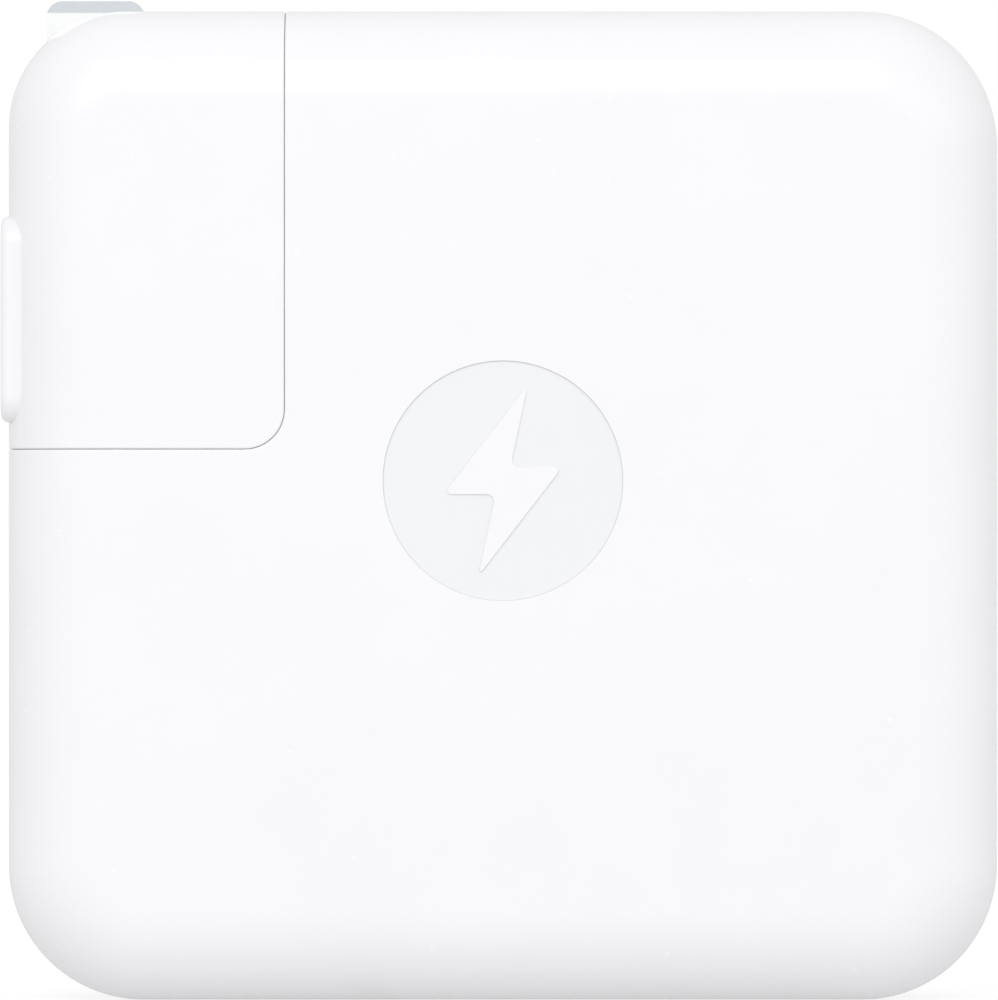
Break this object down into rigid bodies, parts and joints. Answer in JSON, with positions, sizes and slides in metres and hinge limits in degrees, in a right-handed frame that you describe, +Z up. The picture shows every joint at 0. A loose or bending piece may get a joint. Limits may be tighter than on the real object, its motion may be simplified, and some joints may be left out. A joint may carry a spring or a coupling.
{
  "type": "laptop power adapter",
  "caption": "White rounded-square USB-C laptop power adapter with a slide-off mains plug module whose two blades fold flat into its corner.",
  "frame": {"origin": "centre of the flat lower edge that the adapter stands on", "axes": "+Z up, +X towards the side with the USB-C outlet, +Y from the front face with the emblem to the back face"},
  "size_m": [0.0806, 0.029, 0.0808],
  "materials": {
    "aluminium_sheet": "rolled",
    "bare_brass": "rolled",
    "black_film": "polypropylene film",
    "black_nylon": "moulded",
    "blue_lacquer": "lacquered",
    "board_laminate": "solder mask",
    "capacitor_sleeve": "shrink sleeve",
    "chip_epoxy": "moulded",
    "emblem_grey": "gloss",
    "enamelled_copper": "enamelled",
    "ferrite": "sintered",
    "film_capacitor_box": "moulded",
    "fuse_ceramic": "glazed",
    "green_lacquer": "lacquered",
    "grey_gap_pad": "soft",
    "nickel_plated_brass": "satin nickel plate",
    "spring_steel": "bright",
    "stainless_shell": "drawn",
    "white_nylon": "moulded",
    "white_polycarbonate": "gloss",
    "yellow_tape": "polyester tape"
  },
  "bodies": {
    "main_body": {"front_shell": "white_polycarbonate", "rear_shell": "white_polycarbonate", "power_emblem": "emblem_grey", "inlet_body": "white_nylon", "inlet_pins": "nickel_plated_brass", "ground_stud": "nickel_plated_brass", "ground_strap": "spring_steel", "usb_c_shell": "stainless_shell", "usb_c_tongue": "black_nylon", "main_board": "board_laminate", "insulation_film": "black_film", "rear_heat_spreader": "aluminium_sheet", "front_heat_spreader": "aluminium_sheet", "thermal_pad": "grey_gap_pad", "fuse_tube": "fuse_ceramic", "fuse_caps": "nickel_plated_brass", "thermistor": "green_lacquer", "choke_core": "ferrite", "choke_windings": "enamelled_copper", "x_capacitor": "film_capacitor_box", "bridge_rectifier": "chip_epoxy", "bulk_capacitors": "capacitor_sleeve", "output_capacitors": "aluminium_sheet", "transformer_core": "ferrite", "transformer_winding": "yellow_tape", "primary_heatsink": "aluminium_sheet", "primary_switch": "chip_epoxy", "switch_controller_chip": "chip_epoxy", "sync_rectifier": "chip_epoxy", "optocoupler": "chip_epoxy", "y_capacitor": "blue_lacquer", "output_choke_core": "ferrite", "output_choke_winding": "enamelled_copper", "usb_board": "board_laminate", "board_pins": "bare_brass", "usb_controller_chip": "chip_epoxy", "isolation_barrier": "black_film"},
    "plug_module": {"plug_housing": "white_polycarbonate", "plug_cover": "white_polycarbonate", "plug_nose": "white_nylon", "contact_sleeves": "nickel_plated_brass", "contact_strips": "bare_brass", "trunnion_retainers": "white_nylon", "detent_spring": "spring_steel"},
    "prong_rotor": {"prong_drum": "white_polycarbonate", "neutral_blade": "nickel_plated_brass", "line_blade": "nickel_plated_brass"}
  },
  "joints": [
    {"name": "plug_slide", "type": "slide", "parent": "main_body", "child": "plug_module", "axis": [0, 0, 1], "range_m": [0, 0.046]},
    {"name": "prong_fold", "type": "hinge", "parent": "plug_module", "child": "prong_rotor", "pos_m": [-0.033, 0, 0.05505], "axis": [0, -1, 0], "range_deg": [0, 90]}
  ]
}
